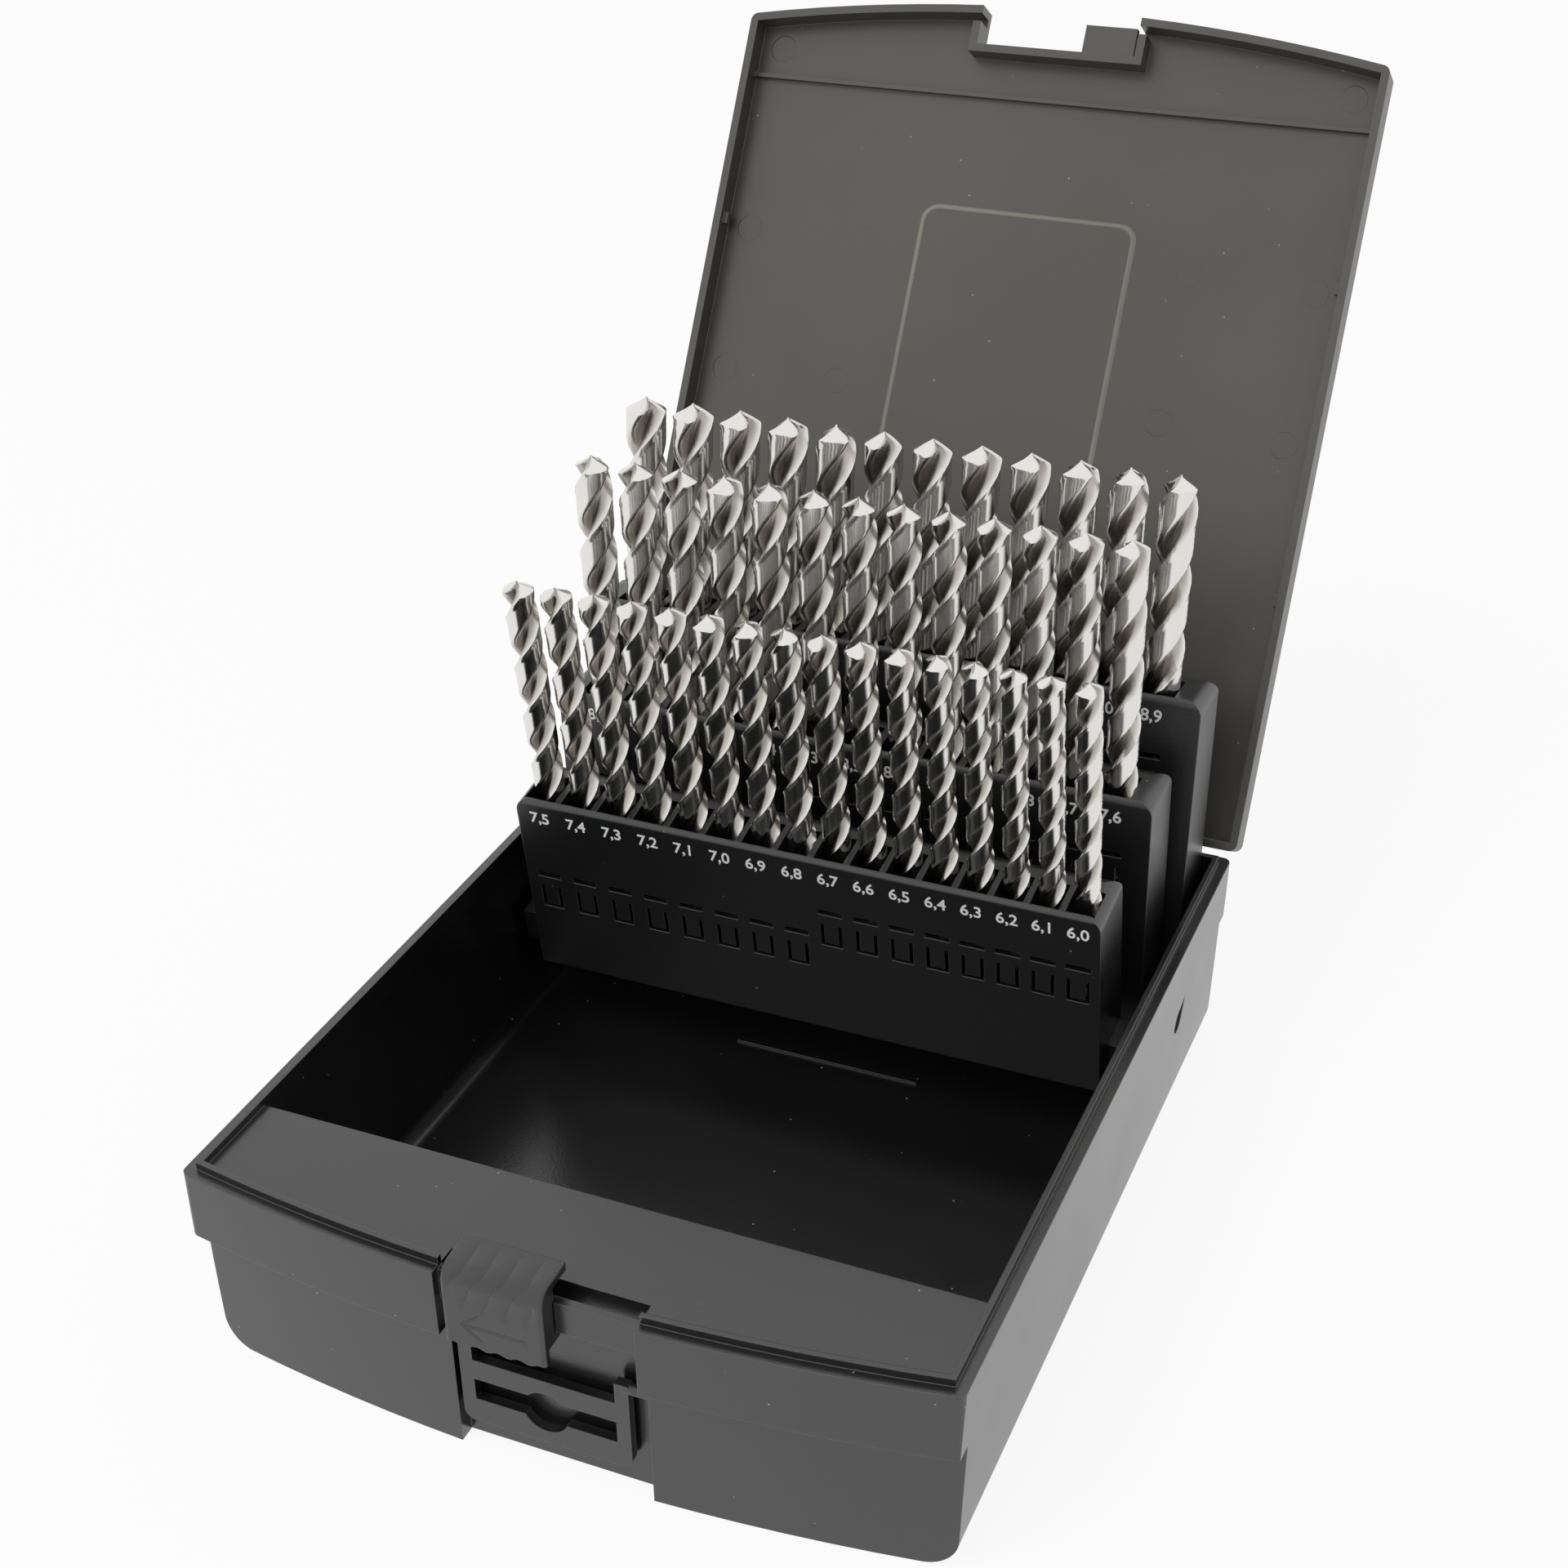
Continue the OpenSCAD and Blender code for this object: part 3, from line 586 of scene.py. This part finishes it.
def segment_distance(x, z, start, end):
    """Distance in a plane from points to a straight stroke."""
    run = np.subtract(end, start)
    share = np.clip(((x - start[0]) * run[0] + (z - start[1]) * run[1]) / (run @ run), 0, 1)
    return np.hypot(x - start[0] - share * run[0], z - start[1] - share * run[1])


class CASE_OT_shell(bpy.types.Operator):
    """Gives the base, the lid and the hanger their moulded plastic"""

    bl_idname = "case.shell"
    bl_label = "Finish case and lid"

    def execute(self, context):
        look = context.scene.case_plastic
        dress(moulded_plastic("case_plastic", look.shell_colour, look), "base_shell")
        dress(moulded_plastic("hanger_plastic", look.shell_colour, look), "hanger_tab")
        # The lid's colour carries a painted sheen as well as its warmer tone.
        dress(moulded_plastic("lid_plastic", look.lid_colour_and_sheen, look, ejector_rings), "lid")
        return {"FINISHED"}


def ejector_rings(finish, place):
    """Marks of the ejector pins on the inside of the lid: a thin raised ring round each centre."""
    x, y, z = (finish.node("ShaderNodeSeparateXYZ", None, {0: place}, axis) for axis in "XYZ")
    origin, across, along, out = lid_axes()
    up = y * along[1] + z * along[2] - origin @ along
    depth = y * out[1] + z * out[2] - origin @ out
    total = None
    for side, height in EJECTOR_MARKS:
        flat = finish.node("ShaderNodeCombineXYZ", None, {0: x - side * MM, 1: up - height * MM})
        away = finish.node("ShaderNodeVectorMath", {"operation": "LENGTH"}, {0: flat}, 1)
        ring = (away.rise(MARK_RADIUS - MARK_RIM, MARK_RADIUS)
                - away.rise(MARK_RADIUS, MARK_RADIUS + MARK_RIM))
        total = ring if total is None else total + ring
    return total * (1 - depth.rise(0.0005, 0.001)) * 3.0


class CASE_OT_racks(bpy.types.Operator):
    """Gives the racks and their pins their moulded plastic, and the hinge pins their steel"""

    bl_idname = "case.racks"
    bl_label = "Finish racks and pins"

    def execute(self, context):
        look = context.scene.case_plastic
        racks = [rack for rack, *_ in RACKS]
        dress(moulded_plastic("rack_plastic", look.rack_colour, look), *racks,
              "front_rack_arms", "rear_rack_arms")
        dress(moulded_plastic("pin_plastic", look.rack_colour, look), *(f"{rack}_pins" for rack in racks))
        dress(drawn_wire("hinge_steel", WIRE_COLOUR), "left_hinge_pin", "right_hinge_pin")
        return {"FINISHED"}


class CASE_OT_catch(bpy.types.Operator):
    """Replaces the sliding catch by a ribbed one, and rounds the border of the lid's panel"""

    bl_idname = "case.catch"
    bl_label = "Make catch and panel border"

    def execute(self, context):
        look, plastic = context.scene.case_catch, context.scene.case_plastic
        black = moulded_plastic("catch_plastic", plastic.shell_colour, plastic)
        add_piece("catch", catch_mesh("catch", look), black, "catch", ["latch_slider"])
        # The border is a lighter copy of the lid's plastic: a painted highlight.
        bead = moulded_plastic("border_painted_highlight", [BORDER_HIGHLIGHT_GAIN * c for c in plastic.lid_colour_and_sheen], plastic)
        add_piece("panel_border", panel_frame_mesh("panel_border", look), bead, "lid")
        return {"FINISHED"}


class CASE_OT_drills(bpy.types.Operator):
    """Replaces each drill by a fluted one on the same axis"""

    bl_idname = "case.drills"
    bl_label = "Make twist drills"

    def execute(self, context):
        look = context.scene.case_drills
        steel = ground_steel("drill_steel", look)
        for rack, lean, _, _ in RACKS:
            for node in rack_drills(rack):
                name = node.replace("drill", "twist_drill")
                mesh = drill_mesh(name, node, lean_axis(lean), size_of(node) * MM, look)
                add_piece(name, mesh, steel, node, [node])
        return {"FINISHED"}


class CASE_OT_numbers(bpy.types.Operator):
    """Prints the size of each drill below its well"""

    bl_idname = "case.numbers"
    bl_label = "Print sizes"

    below_edge: FloatProperty(
        name="Below edge", description="From a rack's top edge to the middle of its numbers",
        subtype="DISTANCE", unit="LENGTH", default=0.005)
    letter_height: FloatProperty(
        name="Height", description="Size of the type", subtype="DISTANCE", unit="LENGTH", default=0.0043)

    def execute(self, context):
        ink = print_ink("print_white", context.scene.case_plastic.print_colour)
        for rack, lean, foot, tall in RACKS:
            up = lean_axis(lean)
            out = np.cross((1.0, 0.0, 0.0), up)
            start = np.array([0.0, *foot]) * MM + up * (tall * MM - self.below_edge) + out * PRINT_LIFT
            rows = []
            for node in rack_drills(rack):
                low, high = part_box(node)
                across = Vector(((low.x + high.x) / 2, start[1], start[2]))
                turn = Matrix(np.array([(1.0, 0.0, 0.0), up, out]).T.tolist()).to_4x4()
                rows.append((f"{size_of(node):.1f}".replace(".", ","), Matrix.Translation(across) @ turn))
            mesh = number_mesh(f"{rack}_numbers", rows, self.letter_height)
            add_piece(f"{rack}_numbers", mesh, ink, rack)
        return {"FINISHED"}


class CASE_OT_stage(bpy.types.Operator):
    """Sets the floor, the lights and the camera"""

    bl_idname = "case.stage"
    bl_label = "Set stage"

    def execute(self, context):
        look = context.scene.case_studio
        add_floor(look)
        add_room(context.scene, look)
        add_key_light(look)
        add_camera(context.scene)
        context.scene.view_settings.view_transform = "Standard"
        return {"FINISHED"}


def seen_directly(nodes):
    """1 for rays that come from the camera, a gloss or glass."""
    rays = [nodes.node("ShaderNodeLightPath", output=ray)
            for ray in ("Is Camera Ray", "Is Glossy Ray", "Is Transmission Ray")]
    return rays[0].maths("MAXIMUM", rays[0].maths("MAXIMUM", rays[0], rays[1]), rays[2])


def add_floor(look):
    """A square sheet just under the case, white to the eye but with its shadow."""
    half, drop = 6.0, -0.0002
    mesh = bpy.data.meshes.new("floor")
    mesh.from_pydata([(-half, -half, drop), (half, -half, drop), (half, half, drop), (-half, half, drop)],
                     [], [(0, 1, 2, 3)])
    floor = bpy.data.objects.new("floor", mesh)
    bpy.context.scene.collection.objects.link(floor)
    finish = Finish("floor_white", roughness=0.9, base_color=rgba(look.floor_colour))
    glow = finish.node("ShaderNodeEmission", None, {"Color": (1, 1, 1, 1), "Strength": 1.0})
    paper = Value(finish, finish.shader.outputs[0])
    share = seen_directly(finish) * FLOOR_GLOW
    both = finish.node("ShaderNodeMixShader", None, {0: share, 1: paper, 2: glow})
    finish.tree.links.new(both.socket, finish.tree.nodes["Material Output"].inputs["Surface"])
    mesh.materials.append(finish.material)


def add_room(scene, look):
    """White to the eye and in reflections, and a soft even light on the object."""
    world = bpy.data.worlds.new("studio")
    scene.world = world
    world.use_nodes = True
    tree = world.node_tree
    tree.nodes.clear()
    room = Nodes(tree)
    light = room.node("ShaderNodeBackground", None, {"Color": (1, 1, 1, 1), "Strength": look.room_level})
    white = room.node("ShaderNodeBackground", None, {"Color": (1, 1, 1, 1), "Strength": 1.0})
    both = room.node("ShaderNodeMixShader", None, {0: seen_directly(room), 1: light, 2: white})
    output = tree.nodes.new("ShaderNodeOutputWorld")
    tree.links.new(both.socket, output.inputs["Surface"])


def add_key_light(look):
    """A large soft lamp above and in front, to the left, that shows in no gloss."""
    lamp = bpy.data.lights.new("key", "AREA")
    lamp.shape = "RECTANGLE"
    lamp.size, lamp.size_y = KEY_SIDES
    lamp.energy = look.key_power
    key = bpy.data.objects.new("key", lamp)
    key.visible_glossy = False
    key.location = KEY_PLACE
    key.rotation_euler = (Vector(KEY_TARGET) - key.location).to_track_quat("-Z", "Y").to_euler()
    bpy.context.scene.collection.objects.link(key)


def add_camera(scene):
    """The photograph's camera: no shift and everything sharp."""
    right, up = Vector(CAMERA_RIGHT), Vector(CAMERA_UP)
    back = right.cross(up)
    camera = bpy.data.cameras.new("camera")
    camera.lens = CAMERA_LENS
    camera.sensor_width = 36
    camera.clip_start = 0.01
    view = bpy.data.objects.new("camera", camera)
    view.matrix_world = Matrix.Translation(CAMERA_PLACE) @ Matrix((right, up, back)).transposed().to_4x4()
    scene.collection.objects.link(view)
    scene.camera = view


class CASE_PT_pieces(bpy.types.Panel):
    """Lists the pieces and their looks"""

    bl_idname = "CASE_PT_pieces"
    bl_label = "Drill case"
    bl_space_type = "VIEW_3D"
    bl_region_type = "UI"
    bl_category = "Drill Case"

    def draw(self, context):
        for label in LOOKS:
            look = getattr(context.scene, label)
            for name in look.__annotations__:
                self.layout.prop(look, name)
        for operator in OPERATORS:
            self.layout.operator(operator.bl_idname)


LOOKS = {
    "case_plastic": PlasticLook, "case_catch": CatchLook, "case_drills": DrillLook,
    "case_studio": StudioLook}
OPERATORS = (CASE_OT_shell, CASE_OT_racks, CASE_OT_catch, CASE_OT_drills, CASE_OT_numbers, CASE_OT_stage)


def register():
    for name, look in LOOKS.items():
        bpy.utils.register_class(look)
        setattr(bpy.types.Scene, name, PointerProperty(type=look))
    for operator in OPERATORS:
        bpy.utils.register_class(operator)
    bpy.utils.register_class(CASE_PT_pieces)


def unregister():
    bpy.utils.unregister_class(CASE_PT_pieces)
    for operator in reversed(OPERATORS):
        bpy.utils.unregister_class(operator)
    for name, look in LOOKS.items():
        delattr(bpy.types.Scene, name)
        bpy.utils.unregister_class(look)


def main():
    register()
    bpy.ops.case.shell()
    bpy.ops.case.racks()
    bpy.ops.case.catch()
    bpy.ops.case.drills()
    bpy.ops.case.numbers()
    bpy.ops.case.stage()


if __name__ == "__main__":
    main()
